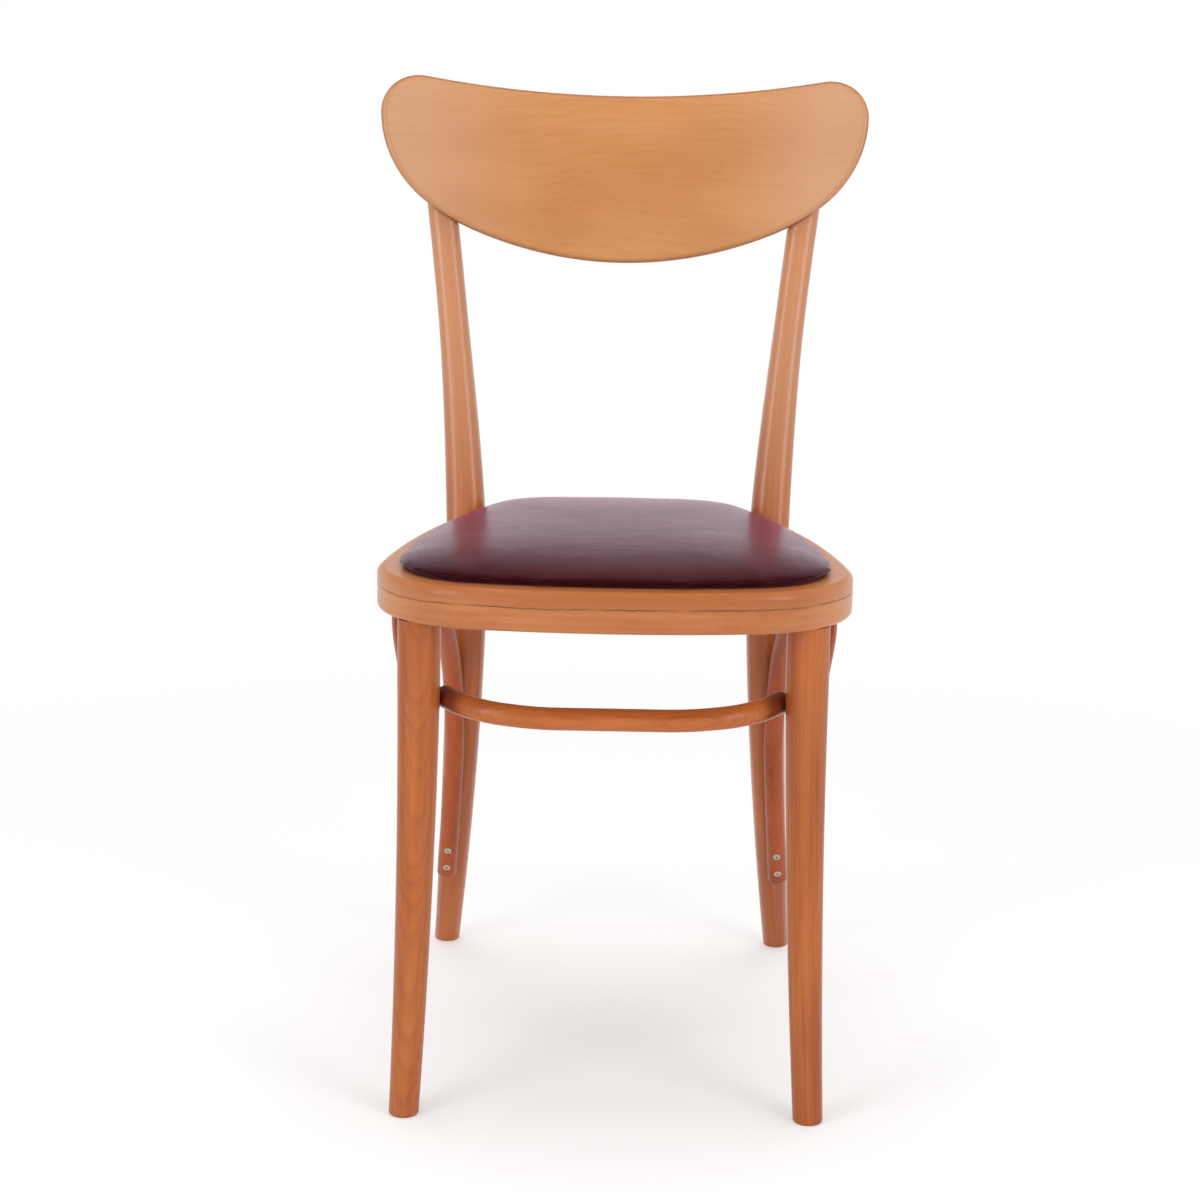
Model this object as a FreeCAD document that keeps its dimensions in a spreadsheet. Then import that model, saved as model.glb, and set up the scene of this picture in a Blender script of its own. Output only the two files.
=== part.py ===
import FreeCAD, Part
import math
import os
from FreeCAD import Placement, Rotation, Vector

# A bentwood bistro chair: lacquered beech frame, bent plywood backrest and a leather seat pad.
# X runs from side to side, the chair's front is at -Y, its back at +Y and the floor at Z = 0.
# Sizes are in millimetres and degrees. The pieces are made about a Y = 0 line through the seat,
# and the last step moves them all alike, so that the origin is under the middle of the chair.

os.makedirs("parts", exist_ok=True)
doc = FreeCAD.newDocument("BistroChair")

SIZES = [
    # Seat ring: an outline of tangent arcs, each ending where its outward normal has a given direction
    ("ring_top", 453, "top of the seat ring above the floor"),
    ("ring_height", 34, "height of the bent seat ring"),
    ("ring_band", 38, "width of the ring's band in plan"),
    ("ring_front", 205.5, "reach of the ring forward of Y = 0"),
    ("ring_front_radius", 729, "radius of the front edge"),
    ("ring_front_end", -80.8, "direction in which the front edge ends"),
    ("ring_corner_radius", 94.6, "radius of the front corners"),
    ("ring_corner_end", 6.5, "direction in which the front corners end"),
    ("ring_side_radius", 833, "radius of the sides"),
    ("ring_side_end", 23.6, "direction in which the sides end"),
    ("ring_back_corner_radius", 80, "radius of the back corners"),
    ("ring_back_radius", 1500, "radius of the back edge"),
    ("ring_top_round", 6, "rounding of the ring's upper outer edge"),
    ("ring_bottom_round", 4, "rounding of the ring's lower outer edge"),
    ("rim", 21.5, "width of the ring left showing around the pad"),
    ("rebate_depth", 12, "depth of the rebate that holds the seat board"),
    # Front legs
    ("front_leg_angle", -42.2, "direction of the front leg's place on the ring"),
    ("front_leg_inset", 18.6, "distance of the front leg's axis inside the ring's outline"),
    ("front_splay_side", 10.7, "how far the front foot stands outward of the leg's top"),
    ("front_splay_forward", 23, "how far the front foot stands forward of the leg's top"),
    ("front_splay_power", 1.9, "how late the front leg bends outward, 1 is straight"),
    ("front_top_radius", 17.6, "radius of the front leg's upper part"),
    ("front_foot_radius", 12.5, "radius of the front foot"),
    ("front_taper_top", 370, "height up to which the front leg gets thicker"),
    ("tenon_radius", 11, "radius of the tenon turned on the front leg"),
    ("tenon_length", 20, "length of the tenon inside the ring"),
    # Rear legs, each in one piece from the floor to the backrest
    ("rear_leg_angle", 29.2, "direction of the rear leg's place on the ring"),
    ("rear_leg_notch", 5.4, "depth of the ring's notch for the rear leg"),
    ("waist_height", 390, "height at which the rear legs stand closest together"),
    ("rear_splay_side", 24.6, "how far the rear foot stands outward of the waist"),
    ("rear_splay_back", 107, "how far the rear foot stands behind the waist"),
    ("rear_splay_power", 1.55, "how late the rear leg bends outward, 1 is straight"),
    ("post_top", 800, "height of the rear leg's upper end"),
    ("post_spread", 39.2, "how far the upper end stands outward of the waist"),
    ("post_spread_power", 1.55, "how late the posts spread apart"),
    ("post_lean", 82, "how far the upper end stands behind the waist"),
    ("post_lean_power", 1.25, "how late the posts lean back"),
    ("rear_leg_radius", 18.4, "half width of the rear leg at the seat"),
    ("rear_foot_radius", 12, "radius of the rear foot"),
    ("rear_taper_top", 380, "height up to which the rear leg gets thicker"),
    ("rear_taper_power", 1.45, "how low the rear foot's taper lies"),
    ("post_radius", 13.4, "half width of the post behind the backrest"),
    ("post_taper_from", 400, "height at which the post starts to get thinner"),
    ("post_taper_to", 650, "height at which the post has its upper width"),
    ("post_squareness", 2.7, "power of the post's section, 2 is round"),
    ("post_end_round", 5, "rounding of the post's upper end"),
    ("foot_round", 2.5, "rounding of the feet"),
    # Backrest, a bent plywood panel fixed to the front of both posts, with an outline of tangent arcs
    ("panel_level", 741.7, "height of the backrest's reference line on the posts"),
    ("panel_thickness", 11, "thickness of the backrest"),
    ("panel_bend_radius", 600, "radius of the backrest's hollow front"),
    ("panel_drop", 69.2, "reach of the bottom edge below the reference line"),
    ("panel_bottom_radius", 375.5, "radius of the bottom edge"),
    ("panel_bottom_end", -69.1, "direction in which the bottom edge ends"),
    ("panel_flank_radius", 196, "radius of the slanting lower sides"),
    ("panel_flank_end", -53.4, "direction in which the lower sides end"),
    ("panel_side_radius", 99, "radius of the sides"),
    ("panel_side_end", -1.2, "direction in which the sides end"),
    ("panel_ear_radius", 35.4, "radius of the ears"),
    ("panel_ear_end", 96.5, "direction in which the ears end"),
    ("panel_edge_round", 4.4, "rounding of the backrest's edges"),
    ("panel_seat", 2.2, "depth of the flat on each post that carries the backrest"),
    # Side arches, bent rods between rear leg, ring and front leg
    ("arch_radius", 9.25, "radius of the side arches"),
    ("arch_end_height", 89.8, "height of the arches' lower ends"),
    ("arch_rear_leave", 240, "height at which the arch leaves the rear leg"),
    ("arch_front_leave", 300, "height at which the arch leaves the front leg"),
    ("arch_rear_outset", 4.6, "how far the rear arm lies outward of the rear leg's middle"),
    ("arch_front_outset", 2, "how far the front arm lies outward of the front leg's middle"),
    ("arch_leg_seat", 3, "depth of the seats cut in the arches for the legs"),
    ("arch_ring_seat", 1.5, "depth of the flat on the arches under the ring"),
    ("arch_end_round", 5, "rounding of the arches' and the stretcher's ends"),
    ("arch_top_side", 177.6, "X of the arch's middle under the ring"),
    ("arch_top_length", 72, "length of the arch's level run under the ring"),
    ("arch_top_toe", 5, "how much further out the level run lies at its front"),
    ("arch_top_start", -4, "Y of the level run's rear end"),
    # Front stretcher, a bent rod bowed forward between the front legs
    ("stretcher_radius", 9.25, "radius of the front stretcher"),
    ("stretcher_height", 345.5, "height of the stretcher's middle"),
    ("stretcher_rise", 4, "how much higher the stretcher's ends are"),
    ("stretcher_front", 188.5, "reach of the stretcher's axis forward of Y = 0"),
    ("stretcher_hug_angle", 31, "direction from front leg to stretcher, from -X towards +Y"),
    ("stretcher_seat", 0.8, "depth of the seat cut in the stretcher for the front leg"),
    ("stretcher_turn", 30, "length of the turned back run before the front leg"),
    ("stretcher_end", 8, "length of rod past the middle of its seat"),
    ("stretcher_shoulder", 97, "X of the stretcher's outer bend"),
    ("stretcher_shoulder_back", 7.5, "how far that bend lies behind the stretcher's middle"),
    ("stretcher_straight", 60, "X at which the stretcher starts to bend back"),
    # Seat board and pad
    ("board_thickness", 9, "thickness of the seat board"),
    ("board_gap", 0.6, "gap between the board and the rebate's wall"),
    ("pad_crown", 18.5, "height of the pad's middle above the ring"),
    ("pad_shoulder", 9, "height of the pad's rolled edge above the ring"),
    ("pad_bulge", 1.5, "how far the pad bulges out over the rim"),
    ("pad_middle_forward", 20, "how far the middle of the crown lies forward of Y = 0"),
    ("pad_lift", 0.6, "height above the ring at which the pad starts to bulge"),
    # Fixings
    ("fit", 0.15, "clearance of wood seated on wood"),
    ("hole_gap", 0.1, "clearance around a screw or bolt"),
    ("sink", 0.8, "depth of the screw heads under the surface of a rod"),
    ("screw_head_radius", 3.3, "head of the wood screws"),
    ("screw_head_height", 2.4, "height of the countersunk heads"),
    ("screw_radius", 1.9, "shank of the wood screws"),
    ("rod_screw_length", 30, "length of the screws through the arches and the stretcher"),
    ("back_screw_length", 34, "length of the screws through the posts"),
    ("board_screw_length", 28, "length of the screws up into the seat board"),
    ("arch_screw_low", 103.7, "height of the lower screw in each arm of the arches"),
    ("arch_screw_pitch", 18.8, "distance between the two screws there"),
    ("ring_screw_inset", 18, "distance of the ring screws from the level run's ends"),
    ("back_screw_low", 0, "height of the lower backrest screws above the reference line"),
    ("back_screw_pitch", 42, "distance between the two backrest screws of a post"),
    ("board_screw_front", -84, "direction of the front board screws"),
    ("board_screw_side", 12, "direction of the side board screws"),
    ("board_screw_back", 62, "direction of the back board screws"),
    ("bolt_radius", 3, "shank of the bolts through rear leg and ring"),
    ("bolt_head_radius", 6.5, "domed head of those bolts"),
    ("bolt_head_height", 3.2, "height of the domed head"),
    ("bolt_head_sink", 1.5, "depth of the flat under the domed head"),
    ("bolt_rise", 12.5, "height of the bolts above the ring's underside"),
    ("washer_radius", 7.5, "washers inside the ring"),
    ("washer_thickness", 1.5, "thickness of the washers"),
    ("washer_sink", 1.2, "depth of the flat under the washers"),
    ("nut_flats", 10, "width of the nuts across their flats"),
    ("nut_thickness", 5, "thickness of the nuts"),
    ("bolt_end", 2, "length of thread standing out of the nut"),
]

sheet = doc.addObject("Spreadsheet::Sheet", "Sizes")
for row, (alias, value, note) in enumerate(SIZES, 1):
    sheet.set("A%d" % row, note)
    sheet.set("B%d" % row, str(value))
    sheet.setAlias("B%d" % row, alias)
doc.recompute()


def size(alias):
    return float(sheet.get(alias))


LEG_STATIONS = 18
SECTION_POINTS = 16
BELOW_FLOOR = 15
BEYOND_RING = 30
ARC_SHARE = 0.47
AMPLE = 900
UP = Vector(0, 0, 1)
SIDE = Vector(1, 0, 0)
FRONT = Vector(0, -1, 0)

ring_bottom = size("ring_top") - size("ring_height")
rebate_floor = size("ring_top") - size("rebate_depth")
board_top = rebate_floor + size("board_thickness")
nodes = []


# General helpers

def keep(item, label):
    item.Label = label
    nodes.append(item)
    return item


def solid_feature(name, shape):
    item = doc.addObject("Part::Feature", name)
    item.Shape = shape
    return item


def combined(kind, name, base, tool):
    item = doc.addObject(kind, name)
    item.Base = base
    item.Tool = tool
    return item


def cut_by(name, base, tools):
    tool = tools[0].multiFuse(tools[1:]) if len(tools) > 1 else tools[0]
    return combined("Part::Cut", name, base, solid_feature(name + "_cuts", tool))


def mirrored(name, source):
    item = doc.addObject("Part::Mirroring", name)
    item.Source = source
    item.Normal = SIDE
    return item


def rounded(name, base, radius, wanted):
    doc.recompute()
    item = doc.addObject("Part::Fillet", name)
    item.Base = base
    item.Edges = [(i, radius, radius) for i, edge in enumerate(base.Shape.Edges, 1) if wanted(edge)]
    return item


def square_to(direction, along):
    # The part of a direction that is square to another one
    part = direction - along * direction.dot(along)
    return part.normalize()


def facing(point, along, side):
    # A placement with its Z along a direction and its X as near as it gets to another
    first = square_to(side, along)
    return Placement(point, Rotation(first, along.cross(first), along, "ZXY"))


def other_side(vector):
    return Vector(-vector.x, vector.y, vector.z)


def both(point, way):
    return [(point, way), (other_side(point), other_side(way))]


def both_sides(shape):
    return [shape, shape.mirror(Vector(0, 0, 0), SIDE)]


# Outlines of tangent arcs: right half from the lowest to the highest middle point, then mirrored

def normal(angle):
    return Vector(math.cos(math.radians(angle)), math.sin(math.radians(angle)), 0)


def half_outline(start, arcs, inset=0):
    # Each arc has a radius and the directions of its normal at both ends; a hollow arc's radius is negative
    pieces = []
    point = start + normal(-90) * -inset
    for radius, first, last in arcs:
        reach = radius - inset
        centre = point - normal(first) * reach
        middle = centre + normal((first + last) / 2) * reach
        end = centre + normal(last) * reach
        pieces.append((point, middle, end))
        point = end
    return pieces


def whole_outline(half, height=0):
    lift = UP * height
    arcs = [Part.Arc(*[p + lift for p in piece]) for piece in half]
    for first, middle, last in reversed(half):
        arcs.append(Part.Arc(*[other_side(p) + lift for p in (last, middle, first)]))
    return arcs


ring_start = Vector(0, -size("ring_front"), 0)
ring_arcs = [
    (size("ring_front_radius"), -90, size("ring_front_end")),
    (size("ring_corner_radius"), size("ring_front_end"), size("ring_corner_end")),
    (size("ring_side_radius"), size("ring_corner_end"), size("ring_side_end")),
]
# The back corner ends where the back edge's middle comes to lie on the chair's middle plane
side_end = half_outline(ring_start, ring_arcs)[-1][2]
corner_radius, back_radius = size("ring_back_corner_radius"), size("ring_back_radius")
corner_x = side_end.x - corner_radius * normal(size("ring_side_end")).x
back_from = math.degrees(math.acos(corner_x / (back_radius - corner_radius)))
ring_arcs += [(corner_radius, size("ring_side_end"), back_from), (back_radius, back_from, 90)]


def ring_wire(inset, height, shrink=1):
    wire = Part.Wire([arc.toShape() for arc in whole_outline(half_outline(ring_start, ring_arcs, inset))])
    if shrink != 1:
        # The pad's levels get smaller about the middle of its crown
        wire.scale(shrink)
        wire.translate(FRONT * size("pad_middle_forward") * (1 - shrink))
    wire.translate(UP * height)
    return wire


def ring_spot(angle, inset):
    # The point at a distance inside the outline where its normal has a direction
    point = ring_start
    for radius, first, last in ring_arcs:
        centre = point - normal(first) * radius
        if angle <= last:
            return centre + normal(angle) * (radius - inset)
        point = centre + normal(last) * radius
    return point


# Rear leg's axis and width, from the floor to the backrest

def rear_offset(z):
    if z < size("waist_height"):
        t = ((size("waist_height") - z) / size("waist_height")) ** size("rear_splay_power")
        return Vector(size("rear_splay_side") * t, size("rear_splay_back") * t, 0)
    t = (z - size("waist_height")) / (size("post_top") - size("waist_height"))
    side = size("post_spread") * t ** size("post_spread_power")
    return Vector(side, size("post_lean") * t ** size("post_lean_power"), 0)


bolt_z = ring_bottom + size("bolt_rise")
leg_out = normal(size("rear_leg_angle"))
leg_joint = ring_spot(size("rear_leg_angle"), size("rear_leg_notch") - size("rear_leg_radius"))
rear_waist = leg_joint - rear_offset(bolt_z)


def rear_axis(z):
    return rear_waist + rear_offset(z) + UP * z


def rear_radius(z):
    widest, foot, post = size("rear_leg_radius"), size("rear_foot_radius"), size("post_radius")
    low = min(1, max(0, 1 - z / size("rear_taper_top")))
    start, end = size("post_taper_from"), size("post_taper_to")
    high = min(1, max(0, (z - start) / (end - start)))
    smooth = high * high * (3 - 2 * high)
    return widest - (widest - foot) * low ** size("rear_taper_power") - (widest - post) * smooth


def rear_power(z):
    return 2 + (size("post_squareness") - 2) * min(1, max(0, z / size("waist_height")))


# Front leg's axis and width, a turned leg bent outward at the foot

front_top = ring_spot(size("front_leg_angle"), size("front_leg_inset"))


def front_axis(z):
    t = max(0, (ring_bottom - z) / ring_bottom) ** size("front_splay_power")
    return front_top + Vector(size("front_splay_side") * t, -size("front_splay_forward") * t, z)


def front_radius(z):
    foot = size("front_foot_radius")
    return foot + (size("front_top_radius") - foot) * min(1, max(0, z / size("front_taper_top")))


def front_power(z):
    return 2


def along_axis(axis, z):
    return (axis(z + 2) - axis(z - 2)).normalize()


def rod_section(frame, radius, power):
    # A closed curve between a circle and a square with round corners
    points = []
    for i in range(SECTION_POINTS):
        turn = 2 * math.pi * i / SECTION_POINTS
        c, s = math.cos(turn), math.sin(turn)
        x = math.copysign(abs(c) ** (2 / power), c) * radius
        y = math.copysign(abs(s) ** (2 / power), s) * radius
        points.append(frame.multVec(Vector(x, y, 0)))
    curve = Part.BSplineCurve()
    curve.interpolate(Points=points, PeriodicFlag=True)
    return Part.Wire([curve.toShape()])


def leg_rod(name, form, low, high, extra=0):
    # A rod of varying thickness through sections square to its axis
    axis, radius, power = form
    sections = []
    for i in range(LEG_STATIONS + 1):
        z = low + (high - low) * i / LEG_STATIONS
        frame = facing(axis(z), along_axis(axis, z), SIDE)
        sections.append(solid_feature("%s_section_%d" % (name, i),
                                      rod_section(frame, radius(z) + extra, power(z))))
    loft = doc.addObject("Part::Loft", name)
    loft.Sections = sections
    loft.Solid = True
    return loft


REAR_FORM = (rear_axis, rear_radius, rear_power)
FRONT_FORM = (front_axis, front_radius, front_power)
rear_rod = leg_rod("rear_rod", REAR_FORM, -BELOW_FLOOR, size("post_top"))
rear_space = leg_rod("rear_space", REAR_FORM, -BELOW_FLOOR, size("post_top"), size("fit"))
front_rod = leg_rod("front_rod", FRONT_FORM, -BELOW_FLOOR, ring_bottom + BELOW_FLOOR)
front_space = leg_rod("front_space", FRONT_FORM, -BELOW_FLOOR, ring_bottom + BELOW_FLOOR, size("fit"))
doc.recompute()


# Bent rods: straight runs joined by tangent arcs

def rounded_route(points):
    edges = []
    radii = []
    start = points[0]
    for before, corner, after in zip(points, points[1:], points[2:]):
        first, second = corner - before, after - corner
        turn = first.getAngle(second)
        reach = ARC_SHARE * min(first.Length, second.Length)
        first.normalize()
        second.normalize()
        bend = reach / math.tan(turn / 2)
        inward = (second - first).normalize()
        enter, leave = corner - first * reach, corner + second * reach
        middle = corner + inward * bend * (1 / math.cos(turn / 2) - 1)
        edges.append(Part.LineSegment(start, enter).toShape())
        edges.append(Part.Arc(enter, middle, leave).toShape())
        radii.append(round(bend))
        start = leave
    edges.append(Part.LineSegment(start, points[-1]).toShape())
    return Part.Wire(edges), radii


def bent_rod(name, points, radius_alias):
    route, radii = rounded_route(points)
    path = solid_feature(name + "_path", route)
    circle = doc.addObject("Part::Circle", name + "_section")
    circle.setExpression("Radius", "Sizes." + radius_alias)
    circle.Placement = facing(points[0], (points[1] - points[0]).normalize(), SIDE + FRONT * 0.1)
    rod = doc.addObject("Part::Sweep", name + "_rod")
    rod.Sections = [circle]
    rod.Spine = (path, ["Edge%d" % i for i in range(1, len(route.Edges) + 1)])
    rod.Solid = True
    rod.Frenet = False
    doc.recompute()
    plain = math.pi * size(radius_alias) ** 2 * route.Length
    print(name, "bend radii", radii, "volume over section times length", rod.Shape.Volume / plain)
    girth = 2 * math.pi * size(radius_alias)
    ends = [points[0], points[-1]]

    def at_end(edge):
        near = min(edge.BoundBox.Center.distanceToPoint(end) for end in ends)
        return near < 1 and abs(edge.Length - girth) < 0.5
    return rounded(name + "_rounded", rod, size("arch_end_round"), at_end)


# Side arch on the right

def on_rear_leg(z):
    out = square_to(FRONT, along_axis(rear_axis, z))
    reach = rear_radius(z) + size("arch_radius") - size("arch_leg_seat")
    return rear_axis(z) + out * reach + SIDE * size("arch_rear_outset")


def on_front_leg(z):
    out = square_to(FRONT * -1, along_axis(front_axis, z))
    reach = front_radius(z) + size("arch_radius") - size("arch_leg_seat")
    return front_axis(z) + out * reach + SIDE * size("arch_front_outset")


under_ring = ring_bottom - size("arch_radius") + size("arch_ring_seat")
arch_low = size("arch_end_height")
rear_leave, front_leave = size("arch_rear_leave"), size("arch_front_leave")
leave_point = on_rear_leg(rear_leave)
level_start = Vector(size("arch_top_side") - size("arch_top_toe"), size("arch_top_start"), under_ring)
level_end = level_start + Vector(size("arch_top_toe"), -size("arch_top_length"), 0)
front_arm_top = on_front_leg(front_leave)

# The bends, as shares of the way from a straight arm to the level run: across, along and up
REAR_BENDS = [(0.05, 0.07, 0.32), (0.16, 0.24, 0.57), (0.42, 0.48, 0.79), (0.76, 0.74, 0.935)]
FRONT_BENDS = [(0.85, 0.5, 0.87), (0.4, 0.13, 0.6)]


def bent_between(start, end, shares):
    way = end - start
    return [start + Vector(way.x * across, way.y * along, way.z * up) for across, along, up in shares]


arch_route = [on_rear_leg(arch_low + (rear_leave - arch_low) * i / 3) for i in range(4)]
arch_route += bent_between(leave_point, level_start, REAR_BENDS)
arch_route += [level_start, level_end]
arch_route += bent_between(front_arm_top, level_end, FRONT_BENDS)
arch_route += [on_front_leg(front_leave + (arch_low - front_leave) * i / 3) for i in range(4)]
arch_rod = bent_rod("side_arch", arch_route, "arch_radius")

# Front stretcher

hug = math.radians(size("stretcher_hug_angle"))
hug_z = size("stretcher_height") + size("stretcher_rise")
hug_way = Vector(-math.cos(hug), math.sin(hug), 0)
hug_reach = front_radius(hug_z) + size("stretcher_radius") - size("stretcher_seat")
hug_point = front_axis(hug_z) + hug_way * hug_reach
past_leg = Vector(math.sin(hug), math.cos(hug), 0)
stretcher_middle = Vector(0, -size("stretcher_front"), size("stretcher_height"))
shoulder_back = Vector(0, size("stretcher_shoulder_back"), size("stretcher_rise") / 2)
stretcher_half = [
    hug_point + past_leg * size("stretcher_end"),
    hug_point - past_leg * size("stretcher_turn"),
    stretcher_middle + SIDE * size("stretcher_shoulder") + shoulder_back,
    stretcher_middle + SIDE * size("stretcher_straight"),
]
stretcher_route = stretcher_half + [other_side(p) for p in reversed(stretcher_half)]
stretcher_rod = bent_rod("front_stretcher", stretcher_route, "stretcher_radius")


# Backrest's place: its bend axis leans as the posts do and lies in front of them

level = size("panel_level")
post_point = rear_axis(level)
post_way = along_axis(rear_axis, level)
lean = Vector(0, post_way.y, post_way.z).normalize()
backward = Vector(0, lean.z, -lean.y)
bend = size("panel_bend_radius")
outer_bend = bend + size("panel_thickness")
post_distance = outer_bend + rear_radius(level) - size("panel_seat")
axis_depth = post_point.dot(backward) - math.sqrt(post_distance ** 2 - post_point.x ** 2)
bend_axis = backward * axis_depth + lean * post_point.dot(lean)
panel_place = Placement(bend_axis, Rotation(SIDE, lean, backward * -1, "ZXY"))


# Fixings: one master of each kind, placed where it is used

def screw_master(name, length_alias):
    # The head's top is at the origin and the shank points along +Z
    head = doc.addObject("Part::Cone", name + "_head")
    head.setExpression("Radius1", "Sizes.screw_head_radius")
    head.setExpression("Radius2", "Sizes.screw_radius")
    head.setExpression("Height", "Sizes.screw_head_height")
    shank = doc.addObject("Part::Cylinder", name + "_shank")
    shank.setExpression("Radius", "Sizes.screw_radius")
    shank.setExpression("Height", "Sizes.%s - 3 * Sizes.screw_radius" % length_alias)
    tip = doc.addObject("Part::Cone", name + "_tip")
    tip.setExpression("Radius1", "Sizes.screw_radius")
    tip.setExpression("Radius2", "Sizes.screw_radius / 5")
    tip.setExpression("Height", "3 * Sizes.screw_radius")
    tip.setExpression("Placement.Base.z", "Sizes.%s - 3 * Sizes.screw_radius" % length_alias)
    body = doc.addObject("Part::MultiFuse", name + "_body")
    body.Shapes = [head, shank, tip]
    slots = []
    for long_side, short_side in (("x", "y"), ("y", "x")):
        slot = doc.addObject("Part::Box", "%s_slot_%s" % (name, long_side))
        sides = {"x": "Length", "y": "Width"}
        slot.setExpression(sides[long_side], "1.1 * Sizes.screw_head_radius")
        slot.setExpression(sides[short_side], "0.28 * Sizes.screw_head_radius")
        slot.setExpression("Height", "0.55 * Sizes.screw_head_height")
        slot.setExpression("Placement.Base." + long_side, "-0.55 * Sizes.screw_head_radius")
        slot.setExpression("Placement.Base." + short_side, "-0.14 * Sizes.screw_head_radius")
        slots.append(slot)
    return combined("Part::Cut", name, body, combined("Part::Fuse", name + "_cross", *slots))


def screw_hole(point, way, length):
    # The space of a screw: its shank, its sunk head and the way to it from outside
    gap = size("hole_gap")
    shank = Part.makeCylinder(size("screw_radius") + gap, length + gap, point, way)
    head_radius = size("screw_head_radius") + gap
    head = Part.makeCone(head_radius, size("screw_radius") + gap, size("screw_head_height"), point, way)
    outside = Part.makeCylinder(head_radius, size("arch_radius"), point - way * size("arch_radius"), way)
    return shank.multiFuse([head, outside])


def screw_holes(spots, length_alias):
    return [screw_hole(point, way, size(length_alias)) for point, way in spots]


def placed(master, point, way):
    side = FRONT if abs(way.dot(UP)) > 0.9 else UP
    copy = master.Shape.copy()
    copy.Placement = facing(point, way, side).multiply(copy.Placement)
    return copy


rod_screw = screw_master("rod_screw", "rod_screw_length")
back_screw = screw_master("back_screw", "back_screw_length")
board_screw = screw_master("board_screw", "board_screw_length")
doc.recompute()

sink = size("sink")
arch_rear_spots = []
arch_front_spots = []
for i in range(2):
    z = size("arch_screw_low") + i * size("arch_screw_pitch")
    into_rear = square_to(FRONT * -1, along_axis(rear_axis, z))
    arch_rear_spots += both(on_rear_leg(z) - into_rear * (size("arch_radius") - sink), into_rear)
    into_front = square_to(FRONT, along_axis(front_axis, z))
    arch_front_spots += both(on_front_leg(z) - into_front * (size("arch_radius") - sink), into_front)

arch_ring_spots = []
level_way = (level_end - level_start).normalize()
for point in (level_start + level_way * size("ring_screw_inset"),
              level_end - level_way * size("ring_screw_inset")):
    arch_ring_spots += both(point - UP * (size("arch_radius") - sink), UP)

stretcher_spots = both(hug_point + hug_way * (size("stretcher_radius") - sink), hug_way * -1)

# Screws through the posts point at the backrest's bend axis
back_spots = []
for i in range(2):
    along_lean = size("back_screw_low") + i * size("back_screw_pitch")
    middle = rear_axis(level + along_lean * lean.z)
    target = bend_axis + lean * (middle - bend_axis).dot(lean)
    inward = (target - middle).normalize()
    back_spots += both(middle - inward * (rear_radius(middle.z) - sink), inward)

# Screws up through the middle of the rebate's ledge
board_spots = []
ledge_middle = (size("rim") + size("ring_band")) / 2
for angle in (size("board_screw_front"), size("board_screw_side"), size("board_screw_back")):
    board_spots += both(ring_spot(angle, ledge_middle) + UP * (ring_bottom + sink), UP)

# Bolts through the rear legs and the ring, square to the ring's outline
bolt_way = leg_out * -1
leg_middle = rear_axis(bolt_z)
head_seat = leg_middle + leg_out * (size("rear_leg_radius") - size("bolt_head_sink"))
wall_depth = 2 * size("rear_leg_radius") - size("bolt_head_sink") - size("rear_leg_notch") + size("ring_band")
washer_depth = wall_depth - size("washer_sink")
nut_depth = washer_depth + size("washer_thickness")
bolt_length = nut_depth + size("nut_thickness") + size("bolt_end")
bolt_spots = both(head_seat, bolt_way)


def bolt_shape(point, way):
    head_radius, head_rise = size("bolt_head_radius"), size("bolt_head_height")
    ball_radius = (head_radius ** 2 + head_rise ** 2) / (2 * head_rise)
    ball = Part.makeSphere(ball_radius, point + way * (ball_radius - head_rise))
    dome = ball.common(Part.makeCylinder(2 * head_radius, 2 * head_rise, point, way * -1))
    return dome.fuse(Part.makeCylinder(size("bolt_radius"), bolt_length, point, way))


def bored(solid, point, way):
    return solid.cut(Part.makeCylinder(size("bolt_radius") + size("hole_gap"), bolt_length, point, way))


def washer_shape(point, way):
    disc = Part.makeCylinder(size("washer_radius"), size("washer_thickness"), point + way * washer_depth, way)
    return bored(disc, point, way)


def nut_shape(point, way):
    corner = size("nut_flats") / math.sqrt(3)
    frame = facing(point + way * nut_depth, way, UP)
    corners = [frame.multVec(normal(60 * i) * corner) for i in range(7)]
    return bored(Part.Face(Part.makePolygon(corners)).extrude(way * size("nut_thickness")), point, way)


def bolt_hole(point, way):
    # The bolt's bore, with a flat for its head and one for its washer
    gap = size("hole_gap")
    bore = Part.makeCylinder(size("bolt_radius") + gap, bolt_length, point, way)
    head_room = Part.makeCylinder(size("bolt_head_radius") + gap, BELOW_FLOOR, point - way * BELOW_FLOOR, way)
    washer_room = Part.makeCylinder(size("washer_radius") + gap, BELOW_FLOOR, point + way * washer_depth, way)
    return bore.multiFuse([head_room, washer_room])


# Seat ring

def outlined(name, label, height, length, inset):
    body = doc.addObject("PartDesign::Body", name)
    add_outline(body, label, height, inset)
    pad = body.newObject("PartDesign::Pad", label + "_pad")
    pad.Profile = body.getObject(label)
    pad.setExpression("Length", length)
    doc.recompute()
    return body


def add_outline(body, label, height, inset):
    plane = [f for f in body.Origin.OriginFeatures if f.Role == "XY_Plane"][0]
    sketch = body.newObject("Sketcher::SketchObject", label)
    sketch.AttachmentSupport = [(plane, "")]
    sketch.MapMode = "FlatFace"
    sketch.setExpression("AttachmentOffset.Base.z", height)
    for arc in whole_outline(half_outline(ring_start, ring_arcs, inset)):
        sketch.addGeometry(arc, False)
    return sketch


def pocketed(body, label, inset, length):
    before = body.Shape.Volume
    sketch = add_outline(body, label + "_outline", "Sizes.ring_top", inset)
    pocket = body.newObject("PartDesign::Pocket", label)
    pocket.Profile = sketch
    pocket.setExpression("Length", length)
    doc.recompute()
    if body.Shape.Volume > before - 1:
        raise RuntimeError(label + " cuts nothing")


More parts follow.
